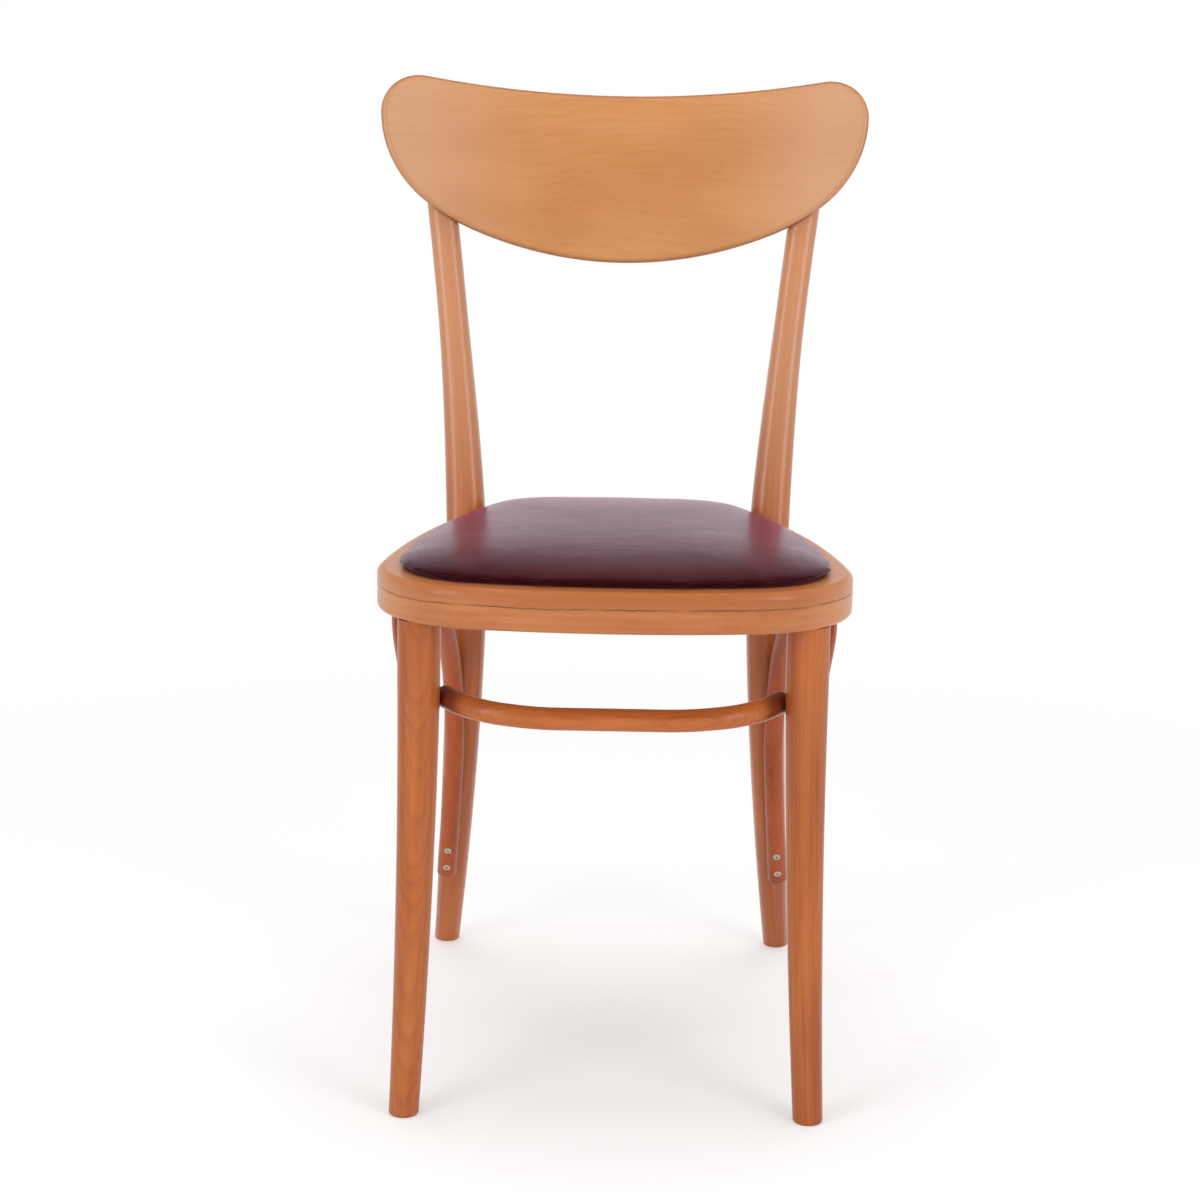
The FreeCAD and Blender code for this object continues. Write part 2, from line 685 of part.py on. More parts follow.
def outer_ring_edge(height):
    def wanted(edge):
        box = edge.BoundBox
        if abs(box.ZMin - height) > 0.01 or abs(box.ZMax - height) > 0.01:
            return False
        return outer_face.distToShape(Part.Vertex(edge.valueAt(edge.FirstParameter)))[0] < 0.01
    return wanted


ring_body = outlined("ring", "ring_outline", "Sizes.ring_top - Sizes.ring_height", "Sizes.ring_height", 0)
pocketed(ring_body, "ring_opening", size("ring_band"), "Sizes.ring_height + 1")
pocketed(ring_body, "ring_rebate", size("rim"), "Sizes.rebate_depth")
outer_face = ring_wire(0, ring_bottom).extrude(UP * size("ring_height"))
ring_solid = rounded("ring_top_rounded", ring_body, size("ring_top_round"), outer_ring_edge(size("ring_top")))
ring_solid = rounded("ring_rounded", ring_solid, size("ring_bottom_round"), outer_ring_edge(ring_bottom))
tenon_foot = front_axis(ring_bottom)
socket = Part.makeCylinder(size("tenon_radius") + size("fit"), size("tenon_length") + size("fit"), tenon_foot)
ring_cuts = both_sides(socket) + both_sides(rear_space.Shape)
ring_cuts += [bolt_hole(*spot) for spot in bolt_spots]
ring_cuts += screw_holes(arch_ring_spots, "rod_screw_length")
ring_cuts += screw_holes(board_spots, "board_screw_length")
keep(cut_by("seat_ring", ring_solid, ring_cuts), "seat_ring")


# Seat board

board_inset = size("rim") + size("board_gap")
board_floor = "Sizes.ring_top - Sizes.rebate_depth"
board_body = outlined("board", "board_outline", board_floor, "Sizes.board_thickness", board_inset)
keep(cut_by("seat_board", board_body, screw_holes(board_spots, "board_screw_length")), "seat_board")


# Seat pad: straight inside the rebate, then bulging over the rim and crowned

pad_start = size("ring_top") + size("pad_lift")
shoulder_z = size("ring_top") + size("pad_shoulder")
crown_rise = size("pad_crown") - size("pad_shoulder")
BELLY_SHARE = 0.35
SHOULDER_PLAN = 0.975
DOME_PLANS = (0.87, 0.74, 0.54, 0.25)
pad_wires = [
    ring_wire(board_inset, pad_start),
    ring_wire(board_inset - size("pad_bulge"), pad_start + BELLY_SHARE * size("pad_shoulder")),
    ring_wire(board_inset - size("pad_bulge") / 2, shoulder_z, SHOULDER_PLAN),
]
for plan in DOME_PLANS:
    # Above the shoulder the crown is a parabola's dome
    dome = 1 - (plan / SHOULDER_PLAN) ** 2
    pad_wires.append(ring_wire(board_inset, shoulder_z + crown_rise * dome, plan))
pad_foot = Part.Face(ring_wire(board_inset, board_top)).extrude(UP * (pad_start - board_top))
pad_solid = pad_foot.fuse(Part.makeLoft(pad_wires, True, False))
keep(solid_feature("seat_pad", pad_solid), "seat_pad")


# Front legs

def above_floor(name, rod, height):
    box = doc.addObject("Part::Box", name + "_height")
    box.Length = box.Width = AMPLE
    box.setExpression("Height", height)
    box.Placement.Base = Vector(0, -AMPLE / 2, 0)
    return combined("Part::Common", name + "_shaft", rod, box)


def at_floor(edge):
    return edge.BoundBox.ZMax < 0.01


front_shaft = above_floor("front", front_rod, "Sizes.ring_top - Sizes.ring_height")
tenon = doc.addObject("Part::Cylinder", "front_tenon")
tenon.setExpression("Radius", "Sizes.tenon_radius")
tenon.setExpression("Height", "2 * Sizes.tenon_length")
tenon.Placement.Base = tenon_foot - UP * size("tenon_length")
front_whole = combined("Part::Fuse", "front_whole", front_shaft, tenon)
front_round = rounded("front_rounded", front_whole, size("foot_round"), at_floor)
front_holes = screw_holes(arch_front_spots[::2] + stretcher_spots[:1], "rod_screw_length")
front_leg = keep(cut_by("front_leg_right", front_round, front_holes), "front_leg_right")
keep(mirrored("front_leg_left", front_leg), "front_leg_left")


# Backrest: the outline's prism within a bent slab

panel_arcs = [
    (size("panel_bottom_radius"), -90, size("panel_bottom_end")),
    (size("panel_flank_radius"), size("panel_bottom_end"), size("panel_flank_end")),
    (size("panel_side_radius"), size("panel_flank_end"), size("panel_side_end")),
    (size("panel_ear_radius"), size("panel_side_end"), size("panel_ear_end")),
]
panel_start = Vector(0, -size("panel_drop"), 0)
# The hollow top edge has the radius that brings it level at the chair's middle plane
ear_end = half_outline(panel_start, panel_arcs)[-1][2]
panel_arcs.append((ear_end.x / normal(size("panel_ear_end")).x, size("panel_ear_end"), 90))


def panel_prism(inset):
    wire = Part.Wire([arc.toShape() for arc in whole_outline(half_outline(panel_start, panel_arcs, inset))])
    prism = Part.Face(wire).extrude(UP * -(outer_bend + size("panel_thickness")))
    prism.Placement = panel_place
    return prism


def bent_slab(inner, outer):
    tall = 4 * size("panel_drop")
    foot = bend_axis - lean * (tall / 2)
    tube = Part.makeCylinder(outer, tall, foot, lean).cut(Part.makeCylinder(inner, tall, foot, lean))
    back_half = Part.makeBox(2 * outer, outer, tall)
    back_half.Placement = Placement(foot - SIDE * outer + backward * (bend / 2),
                                    Rotation(SIDE, backward, lean, "ZXY"))
    return tube.common(back_half)


panel_solid = solid_feature("panel", panel_prism(0).common(bent_slab(bend, outer_bend)))


def on_panel_face(edge):
    first, last = edge.FirstParameter, edge.LastParameter
    for share in (0.2, 0.8):
        offset = edge.valueAt(first + (last - first) * share) - bend_axis
        distance = (offset - lean * offset.dot(lean)).Length
        if min(abs(distance - bend), abs(distance - outer_bend)) > 0.05:
            return False
    return True


panel_round = rounded("panel_rounded", panel_solid, size("panel_edge_round"), on_panel_face)
keep(cut_by("backrest", panel_round, screw_holes(back_spots, "back_screw_length")), "backrest")


# Rear legs

def at_post_end(edge):
    return edge.BoundBox.ZMin > size("post_top") - size("post_radius")


rear_shaft = above_floor("rear", rear_rod, "2 * Sizes.post_top")
rear_round = rounded("rear_foot_rounded", rear_shaft, size("foot_round"), at_floor)
rear_round = rounded("rear_rounded", rear_round, size("post_end_round"), at_post_end)
seat_slab = bent_slab(bend - size("panel_thickness"), outer_bend + size("fit"))
rear_cuts = [panel_prism(-size("fit")).common(seat_slab), bolt_hole(*bolt_spots[0])]
rear_cuts += screw_holes(arch_rear_spots[::2], "rod_screw_length")
rear_cuts += screw_holes(back_spots[::2], "back_screw_length")
rear_leg = keep(cut_by("rear_leg_right", rear_round, rear_cuts), "rear_leg_right")
keep(mirrored("rear_leg_left", rear_leg), "rear_leg_left")


# Arches and stretcher, cut to sit on the legs and the ring

ring_space = Part.Face(ring_wire(-BEYOND_RING, ring_bottom - size("fit"))).extrude(UP * size("ring_height"))
arch_cuts = [rear_space.Shape, front_space.Shape, ring_space]
arch_cuts += screw_holes(arch_rear_spots[::2] + arch_front_spots[::2] + arch_ring_spots[::2],
                         "rod_screw_length")
side_arch = keep(cut_by("side_arch_right", arch_rod, arch_cuts), "side_arch_right")
keep(mirrored("side_arch_left", side_arch), "side_arch_left")
stretcher_cuts = both_sides(front_space.Shape) + screw_holes(stretcher_spots, "rod_screw_length")
keep(cut_by("front_stretcher", stretcher_rod, stretcher_cuts), "front_stretcher")


# Fasteners, each kind a group of separate solids

def group(name, shapes):
    return keep(solid_feature(name, Part.makeCompound(shapes)), name)


group("arch_rear_leg_screws", [placed(rod_screw, *spot) for spot in arch_rear_spots])
group("arch_front_leg_screws", [placed(rod_screw, *spot) for spot in arch_front_spots])
group("arch_ring_screws", [placed(rod_screw, *spot) for spot in arch_ring_spots])
group("stretcher_screws", [placed(rod_screw, *spot) for spot in stretcher_spots])
group("backrest_screws", [placed(back_screw, *spot) for spot in back_spots])
group("seat_board_screws", [placed(board_screw, *spot) for spot in board_spots])
group("rear_leg_bolts", [bolt_shape(*spot) for spot in bolt_spots])
group("rear_leg_washers", [washer_shape(*spot) for spot in bolt_spots])
group("rear_leg_nuts", [nut_shape(*spot) for spot in bolt_spots])
doc.recompute()


def stop_on_faults():
    faults = [item.Name for item in doc.Objects if "Invalid" in item.State or "Error" in item.State]
    for item in nodes:
        if item.Shape.isNull() or not item.Shape.isValid() or not item.Shape.Solids:
            faults.append(item.Label)
    if faults:
        raise RuntimeError("these objects failed: " + ", ".join(faults))


# The chair's middle in plan becomes the origin

stop_on_faults()
boxes = [item.Shape.optimalBoundingBox(False) for item in nodes]
middle_y = (min(box.YMin for box in boxes) + max(box.YMax for box in boxes)) / 2
to_middle = Placement(Vector(0, -middle_y, 0), Rotation())
for item in nodes:
    item.Placement = to_middle.multiply(item.Placement)
stop_on_faults()
for item in nodes:
    item.Shape.exportStep("parts/%s.step" % item.Label)
    box = item.Shape.optimalBoundingBox(False)
    print(item.Label, len(item.Shape.Solids), "solids", [round(v, 1) for v in (
        box.XMin, box.XMax, box.YMin, box.YMax, box.ZMin, box.ZMax)])
print("moved by", round(-middle_y, 3), "and wrote", len(nodes), "nodes")
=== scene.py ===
import math

import bpy
from mathutils import Matrix, Vector


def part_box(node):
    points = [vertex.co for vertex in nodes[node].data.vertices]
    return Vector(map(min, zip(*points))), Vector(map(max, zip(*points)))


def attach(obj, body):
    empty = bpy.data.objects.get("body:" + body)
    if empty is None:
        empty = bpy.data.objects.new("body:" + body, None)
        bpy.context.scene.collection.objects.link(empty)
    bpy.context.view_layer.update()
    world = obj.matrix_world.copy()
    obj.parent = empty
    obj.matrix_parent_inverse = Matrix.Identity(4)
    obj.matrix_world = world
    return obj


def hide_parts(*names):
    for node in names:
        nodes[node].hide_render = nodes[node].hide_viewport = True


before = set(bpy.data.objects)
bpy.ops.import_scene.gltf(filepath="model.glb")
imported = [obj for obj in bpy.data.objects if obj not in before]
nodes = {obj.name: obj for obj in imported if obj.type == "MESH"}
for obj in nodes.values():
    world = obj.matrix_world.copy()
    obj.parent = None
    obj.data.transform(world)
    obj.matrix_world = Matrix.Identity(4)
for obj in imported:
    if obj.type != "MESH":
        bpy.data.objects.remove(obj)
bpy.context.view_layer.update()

# The looks of a bentwood bistro chair: lacquered beech, a veneered backrest and a burgundy leather seat.
# Everything is in metres, in the chair's own frame: X to the side, the front at -Y, the floor at Z = 0.

MM = 0.001
scene = bpy.context.scene
ring_low, ring_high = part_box("seat_ring")
ring_front = ring_low.y
ring_top = ring_high.z

# Camera, as solved from the photograph: its place before the ring, and its view of 1200 pixels
CAMERA_SIDE = 0.0136
CAMERA_BEFORE_RING = 2.1246
CAMERA_HEIGHT = 0.9164
CAMERA_FORWARD = Vector((-0.01125, 0.97646, -0.21542))
CAMERA_UP = Vector((-0.01801, 0.21519, 0.9764))
FOCAL_PIXELS = 2759.06
PHOTO_PIXELS = 1200
SENSOR = 36.0

# Colours, in linear light
LEG_LIGHT, LEG_DARK = (0.52, 0.148, 0.034), (0.30, 0.060, 0.0095)
REAR_LIGHT, REAR_DARK = (0.57, 0.165, 0.037), (0.33, 0.066, 0.010)
# The side arches' beech is darker and redder than the legs': painted shade, for the shade under the seat
# where the arches run.
ARCH_SHADED_LIGHT, ARCH_SHADED_DARK = (0.455, 0.094, 0.018), (0.27, 0.041, 0.006)
# A paler, pinker tone for the posts above the seat: painted light.
POST_PAINTED_LIGHT = (0.64, 0.33, 0.18)
RING_LIGHT, RING_DARK = (0.61, 0.228, 0.086), (0.40, 0.113, 0.028)
RING_UPPER = (0.38, 0.108, 0.026)
# A paler tone for the ring's sides: painted reflection of the side lamps.
RING_SIDE_SHEEN = (0.72, 0.36, 0.17)
VEIN_LEVEL = 0.4395
VEIN_COLOUR = (0.13, 0.032, 0.009)
PANEL_LIGHT, PANEL_DARK = (0.65, 0.295, 0.115), (0.49, 0.185, 0.053)
EDGE_LIGHT, EDGE_DARK = (0.46, 0.16, 0.06), (0.28, 0.075, 0.025)
# A paler, pinker tone for the backrest's ends: painted reflection of the side lamps in its curve.
PANEL_END_SHEEN = (0.58, 0.33, 0.19)
# A dark brown for the stretcher's ends: partly a stain and partly painted shade behind the front legs.
END_STAIN_AND_SHADE = (0.14, 0.022, 0.005)
LEATHER_LIGHT, LEATHER_DARK = (0.036, 0.0030, 0.0056), (0.024, 0.0018, 0.0036)

FLECK_TINT = (0.62, 0.48, 0.4)

# Where a colour starts to take over and where it has done so
POST_PAINTED_LIGHT_FROM = (0.38, 0.60)
RING_SIDE_SHEEN_FROM = (0.14, 0.19)
RING_UPPER_FROM = (-4 * MM, 6 * MM)
END_STAIN_AND_SHADE_FROM = (0.116, 0.132)
PANEL_END_SHEEN_FROM = (0.06, 0.19)

# Beech: waves per metre across the grain and along it
SWING_WAVES = (16.0, 11.0)
TONE_WAVES = (42.0, 4.5)
STREAK_WAVES = (210.0, 5.0)
FIBRE_WAVES = (1500.0, 60.0)
FLECK_WAVES = (1000.0, 260.0)
FLECK_RANGE = (0.62, 0.76)
LATE_POWER = 1.5
LATE_END = 0.72

# Veneer: waves per metre to the side and upward
FLOW_WAVES = (5.0, 8.0)
FLOW_HEIGHT = 0.11
CONTOUR_WIDTH = 9 * MM
CONTOUR_END = 0.7
STRENGTH_WAVES = (6.0, 9.0)
CLOUD_WAVES = (7.0, 13.0)
LINE_WAVES = (14.0, 420.0)
VENEER_FLECK_WAVES = (240.0, 950.0)

# Shapes that the grain follows, as the rods were bent
REAR_WAIST = 0.39
REAR_TOP = 0.80
REAR_SPLAY = (0.0246, 0.107, 1.55)
REAR_SPREAD = (0.0392, 1.55)
REAR_LEAN = (0.082, 1.25)
FRONT_SPLAY = (0.0107, 0.023, 1.9)
STRETCHER_BOW = 0.8
RING_SQUARENESS = 2.6
PANEL_BEND = 0.6
PLY = 1.4 * MM


# A small helper that writes node trees as sums

class Nodes:
    """A node tree under construction, with short names for the nodes that it needs."""

    def __init__(self, tree):
        self.tree = tree
        self.tree.nodes.clear()

    def add(self, kind, **settings):
        node = self.tree.nodes.new(kind)
        for name, value in settings.items():
            setattr(node, name, value)
        return node

    def feed(self, socket, value):
        if isinstance(value, bpy.types.NodeSocket):
            self.tree.links.new(value, socket)
        else:
            socket.default_value = value

    def sum(self, operation, *values, clamp=False):
        node = self.add("ShaderNodeMath", operation=operation, use_clamp=clamp)
        for socket, value in zip(node.inputs, values):
            self.feed(socket, value)
        return node.outputs[0]

    def plus(self, a, b):
        return self.sum("ADD", a, b)

    def minus(self, a, b):
        return self.sum("SUBTRACT", a, b)

    def times(self, a, b):
        return self.sum("MULTIPLY", a, b)

    def power(self, a, b):
        return self.sum("POWER", a, b)

    def size(self, a):
        return self.sum("ABSOLUTE", a)

    def length(self, *values):
        squares = [self.times(v, v) for v in values]
        total = squares[0]
        for square in squares[1:]:
            total = self.plus(total, square)
        return self.sum("SQRT", total)

    def split(self, vector):
        node = self.add("ShaderNodeSeparateXYZ")
        self.feed(node.inputs[0], vector)
        return node.outputs

    def vector(self, x, y, z):
        node = self.add("ShaderNodeCombineXYZ")
        for socket, value in zip(node.inputs, (x, y, z)):
            self.feed(socket, value)
        return node.outputs[0]

    def noise(self, vector, scale, detail=2.0):
        node = self.add("ShaderNodeTexNoise")
        self.feed(node.inputs["Vector"], vector)
        node.inputs["Scale"].default_value = scale
        node.inputs["Detail"].default_value = detail
        return node.outputs[0]

    def noise_of(self, x, y, z, detail=2.0):
        return self.noise(self.vector(x, y, z), 1.0, detail)

    def cell_edges(self, vector, scale):
        node = self.add("ShaderNodeTexVoronoi", feature="DISTANCE_TO_EDGE")
        self.feed(node.inputs["Vector"], vector)
        node.inputs["Scale"].default_value = scale
        return node.outputs["Distance"]

    def between(self, value, low, high, to_low=0.0, to_high=1.0):
        node = self.add("ShaderNodeMapRange", interpolation_type="SMOOTHSTEP")
        self.feed(node.inputs["Value"], value)
        for name, number in (("From Min", low), ("From Max", high), ("To Min", to_low), ("To Max", to_high)):
            node.inputs[name].default_value = number
        return node.outputs[0]

    def mix(self, factor, first, second, blend="MIX"):
        node = self.add("ShaderNodeMix", data_type="RGBA", blend_type=blend)
        self.feed(node.inputs[0], factor)
        self.feed(node.inputs[6], first if isinstance(first, bpy.types.NodeSocket) else (*first, 1))
        self.feed(node.inputs[7], second if isinstance(second, bpy.types.NodeSocket) else (*second, 1))
        return node.outputs[2]

    def bump(self, height, depth, under=None):
        node = self.add("ShaderNodeBump")
        self.feed(node.inputs["Height"], height)
        node.inputs["Distance"].default_value = depth
        if under is not None:
            self.feed(node.inputs["Normal"], under)
        return node.outputs[0]

    def seen(self):
        """1 for what the camera, a reflection or clear glass looks at, and 0 for light on things."""
        path = self.add("ShaderNodeLightPath")
        total = self.plus(path.outputs["Is Camera Ray"], path.outputs["Is Glossy Ray"])
        return self.sum("ADD", total, path.outputs["Is Transmission Ray"], clamp=True)


class Look(Nodes):
    """A material with one principled shader."""

    def __init__(self, name):
        self.material = bpy.data.materials.new(name)
        self.material.use_nodes = True
        super().__init__(self.material.node_tree)
        self.shader = self.add("ShaderNodeBsdfPrincipled")
        self.output = self.add("ShaderNodeOutputMaterial")
        self.tree.links.new(self.shader.outputs["BSDF"], self.output.inputs["Surface"])
        coordinates = self.add("ShaderNodeTexCoord")
        self.place = coordinates.outputs["Object"]
        self.facing = coordinates.outputs["Normal"]

    def finish(self, **values):
        for name, value in values.items():
            socket = self.shader.inputs[name.replace("_", " ")]
            if isinstance(value, tuple):
                value = (*value, 1)
            self.feed(socket, value)
        return self.material


# Grain spaces: each gives the way along the grain and two ways across it, in metres

def bent_up(look, z, distance, power, start, end):
    share = look.sum("MAXIMUM", look.times(look.minus(z, start), 1 / (end - start)), 0.0)
    return look.times(look.power(share, power), distance)


def rear_leg_space(look, side):
    x, y, z = look.split(look.place)
    foot_side, foot_back, foot_power = REAR_SPLAY
    out = look.plus(bent_up(look, z, foot_side, foot_power, REAR_WAIST, 0),
                    bent_up(look, z, REAR_SPREAD[0], REAR_SPREAD[1], REAR_WAIST, REAR_TOP))
    back = look.plus(bent_up(look, z, foot_back, foot_power, REAR_WAIST, 0),
                     bent_up(look, z, REAR_LEAN[0], REAR_LEAN[1], REAR_WAIST, REAR_TOP))
    return z, look.minus(x, look.times(out, side)), look.minus(y, back)


def front_leg_space(look, side):
    x, y, z = look.split(look.place)
    out, ahead, power = FRONT_SPLAY
    return (z, look.minus(x, bent_up(look, z, out * side, power, ring_low.z, 0)),
            look.plus(y, bent_up(look, z, ahead, power, ring_low.z, 0)))


def ring_space(look, side):
    x, y, z = look.split(look.place)
    half = (ring_high - ring_low) / 2
    y = look.minus(y, (ring_high.y + ring_low.y) / 2)
    share_x = look.power(look.size(look.times(x, 1 / half.x)), RING_SQUARENESS)
    share_y = look.power(look.size(look.times(y, 1 / half.y)), RING_SQUARENESS)
    reach = look.power(look.plus(share_x, share_y), 1 / RING_SQUARENESS)
    return look.times(look.sum("ARCTAN2", x, look.times(y, -1.0)), half.x), z, look.times(reach, half.x)


def arch_space(look, side):
    x, y, z = look.split(look.place)
    low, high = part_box("side_arch_right")
    half = (high.y - low.y) / 2
    spring = high.z - half
    y = look.minus(y, (high.y + low.y) / 2)
    above = look.sum("MAXIMUM", look.minus(z, spring), 0.0)
    below = look.sum("MINIMUM", look.minus(z, spring), 0.0)
    turn = look.sum("ARCTAN2", above, look.size(y))
    return look.plus(look.times(turn, half), below), x, look.length(y, above)


def stretcher_space(look, side):
    x, y, z = look.split(look.place)
    return x, look.minus(y, look.times(look.times(x, x), STRETCHER_BOW)), z


def panel_space(look, side):
    x, y, z = look.split(look.place)
    return x, z, look.minus(y, look.times(look.times(x, x), -0.5 / PANEL_BEND))


# Beech: growth rings about a slanting pith, soft bands, long streaks, fine fibres and faint flecks

def grain_noise(look, space, waves, detail=2.0):
    along, a, b = space
    across, lengthwise = waves
    return look.noise_of(look.times(a, across), look.times(b, across), look.times(along, lengthwise), detail)


def late_wood(look, distance, width, end):
    """Each ring darkens slowly and then turns light again at once."""
    phase = look.sum("FRACT", look.times(distance, 1 / width))
    return look.times(look.power(phase, LATE_POWER), look.between(phase, end, 1.0, 1.0, 0.0))


def beech_colour(look, along, a, b, light, dark, seed, side=1, ring_width=3.4 * MM, pith=(0.03, 0.05),
                 slant=(0.02, 0.04), wobble=5 * MM, bands=0.6, rings=0.3, streaks=0.5, second=1.0):
    far_a = look.plus(look.plus(a, look.times(along, slant[0] * side)), pith[0] * side)
    far_b = look.plus(look.plus(look.times(b, second), look.times(along, slant[1])), pith[1])
    space = (look.plus(along, seed * 1.7), a, b)
    swing = grain_noise(look, space, SWING_WAVES)
    reach = look.plus(look.length(far_a, far_b), look.times(look.minus(swing, 0.5), 2 * wobble))
    late = late_wood(look, reach, ring_width, LATE_END)
    tone = grain_noise(look, space, TONE_WAVES)
    streak = grain_noise(look, space, STREAK_WAVES)
    fibre = grain_noise(look, space, FIBRE_WAVES)
    flecks = look.between(grain_noise(look, space, FLECK_WAVES, 1.0), *FLECK_RANGE)
    shade = look.between(tone, 0.3, 0.7, 0.45 - bands / 2, 0.45 + bands / 2)
    shade = look.plus(shade, look.times(look.minus(late, 0.27), rings))
    shade = look.plus(shade, look.times(look.minus(streak, 0.5), streaks))
    shade = look.sum("ADD", shade, look.times(look.minus(fibre, 0.5), 0.25), clamp=True)
    colour = look.mix(shade, light, dark)
    colour = look.mix(look.times(flecks, 0.3), colour, FLECK_TINT, "MULTIPLY")
    return colour, fibre, flecks


def lacquered(look, colour, fibre, flecks, coat=0.35):
    height = look.plus(look.times(fibre, 0.5), look.times(flecks, -0.6))
    return look.finish(Base_Color=colour, Roughness=look.plus(look.times(fibre, 0.1), 0.34),
                       Normal=look.bump(height, 0.025 * MM), IOR=1.5, Specular_IOR_Level=0.2,
                       Coat_Weight=coat, Coat_Roughness=0.2, Coat_IOR=1.5)


def rod_beech(name, space, seed, side=1, light=LEG_LIGHT, dark=LEG_DARK, **figure):
    look = Look(name)
    colour, fibre, flecks = beech_colour(look, *space(look, side), light, dark, seed, side, **figure)
    return lacquered(look, colour, fibre, flecks)


def rear_leg_beech(name, seed, side):
    """The rear legs get a painted light above the seat: a paler, pinker tone for the light that falls on the
    posts.
    """
    look = Look(name)
    along, a, b = rear_leg_space(look, side)
    colour, fibre, flecks = beech_colour(look, along, a, b, REAR_LIGHT, REAR_DARK, seed, side,
                                         ring_width=4.2 * MM, wobble=4 * MM, streaks=0.9,
                                         slant=(0.01, 0.02), rings=0.25)
    # Painted light: the posts turn paler and pinker upward from the seat.
    colour = look.mix(look.between(along, *POST_PAINTED_LIGHT_FROM, 0.0, 0.6), colour, POST_PAINTED_LIGHT)
    return lacquered(look, colour, fibre, flecks, 0.6)


def ring_beech():
    """The ring's figure runs round it, with one thin dark vein, darker above it, and a paler tone at the
    sides that is a painted reflection of the side lamps.
    """
    look = Look("ring_beech")
    x = look.split(look.place)[0]
    along, z, reach = ring_space(look, 1)
    colour, fibre, flecks = beech_colour(look, along, z, reach, RING_LIGHT, RING_DARK, 2.4,
                                         ring_width=7.5 * MM, pith=(-0.33, 0.0), slant=(0.002, 0.0),
                                         wobble=2.5 * MM, bands=0.5, rings=0.25, streaks=0.5, second=0.05)
    sway = look.noise_of(look.times(along, 8.0), 0.0, 3.0, 1.0)
    quiver = look.noise_of(look.times(along, 90.0), 0.0, 5.0)
    vein = look.plus(VEIN_LEVEL, look.times(look.minus(sway, 0.5), 8 * MM))
    above = look.minus(look.plus(z, look.times(look.minus(quiver, 0.5), 2.6 * MM)), vein)
    colour = look.mix(look.between(above, *RING_UPPER_FROM, 0.0, 0.5), colour, RING_UPPER)
    # Painted reflection: the ring's sides turn paler, where they would mirror the side lamps.
    colour = look.mix(look.between(look.size(x), *RING_SIDE_SHEEN_FROM, 0.0, 0.36), colour, RING_SIDE_SHEEN)
    patch = look.noise_of(look.times(along, 30.0), 0.0, 9.0)
    thin = look.between(look.size(above), 0.25 * MM, 0.9 * MM, 1.0, 0.0)
    line = look.times(thin, look.between(patch, 0.3, 0.6))
    colour = look.mix(look.times(line, 0.8), colour, VEIN_COLOUR)
    return lacquered(look, colour, fibre, flecks)


def stretcher_beech():
    """Its rings lie flat to the front, and its ends are dark: partly a stain and partly painted shade where
    they turn behind the front legs.
    """
    look = Look("stretcher_beech")
    along, a, b = stretcher_space(look, 1)
    colour, fibre, flecks = beech_colour(look, along, a, b, REAR_LIGHT, REAR_DARK, 5.9, ring_width=2.6 * MM,
                                         pith=(0.175, -0.3455), slant=(0.0, 0.0), wobble=6 * MM, rings=0.32)
    # The ends darken: partly a stain and partly painted shade where they pass behind the front legs.
    colour = look.mix(look.between(look.size(along), *END_STAIN_AND_SHADE_FROM, 0.0, 0.9), colour, END_STAIN_AND_SHADE)
    return lacquered(look, colour, fibre, flecks)


def veneer_noise(look, x, z, waves, seed, detail=2.0):
    return look.noise_of(look.times(x, waves[0]), seed, look.times(z, waves[1]), detail)


def backrest_veneer():
    """Fine level lines with a flowing figure, paler ends that are a painted reflection of the side lamps,
    and darker edges where the layers end.
    """
    look = Look("backrest_veneer")
    x, z, depth = panel_space(look, 1)
    flow = veneer_noise(look, x, z, FLOW_WAVES, 2.7)
    field = look.plus(z, look.times(look.minus(flow, 0.5), FLOW_HEIGHT))
    contour = late_wood(look, field, CONTOUR_WIDTH, CONTOUR_END)
    strength = look.between(veneer_noise(look, x, z, STRENGTH_WAVES, 8.1), 0.4, 0.62, 0.04, 0.26)
    cloud = veneer_noise(look, x, z, CLOUD_WAVES, 1.3)
    lines = veneer_noise(look, x, z, LINE_WAVES, 4.4)
    fibre = look.noise_of(look.times(x, 60.0), look.times(depth, 900.0), look.times(z, 1500.0))
    flecks = look.between(veneer_noise(look, x, z, VENEER_FLECK_WAVES, 6.6, 1.0), *FLECK_RANGE)
    shade = look.between(cloud, 0.3, 0.7, 0.2, 0.7)
    shade = look.plus(shade, look.times(look.minus(contour, 0.27), strength))
    shade = look.plus(shade, look.times(look.minus(lines, 0.5), 0.35))
    shade = look.sum("ADD", shade, look.times(look.minus(fibre, 0.5), 0.2), clamp=True)
    colour = look.mix(shade, PANEL_LIGHT, PANEL_DARK)
    # Painted reflection: the backrest turns paler and pinker towards its ends.
    colour = look.mix(look.between(look.size(x), *PANEL_END_SHEEN_FROM, 0.0, 0.5), colour, PANEL_END_SHEEN)
    colour = look.mix(look.times(flecks, 0.16), colour, FLECK_TINT, "MULTIPLY")
    nx, ny, nz = look.split(look.facing)
    rim = look.sum("MAXIMUM", look.between(look.size(nz), 0.42, 0.8), look.between(look.size(nx), 0.5, 0.85))
    layer = look.between(look.sum("FRACT", look.times(depth, 1 / PLY)), 0.35, 0.65)
    colour = look.mix(look.times(rim, 0.7), colour, look.mix(layer, EDGE_LIGHT, EDGE_DARK))
    return lacquered(look, colour, fibre, flecks)


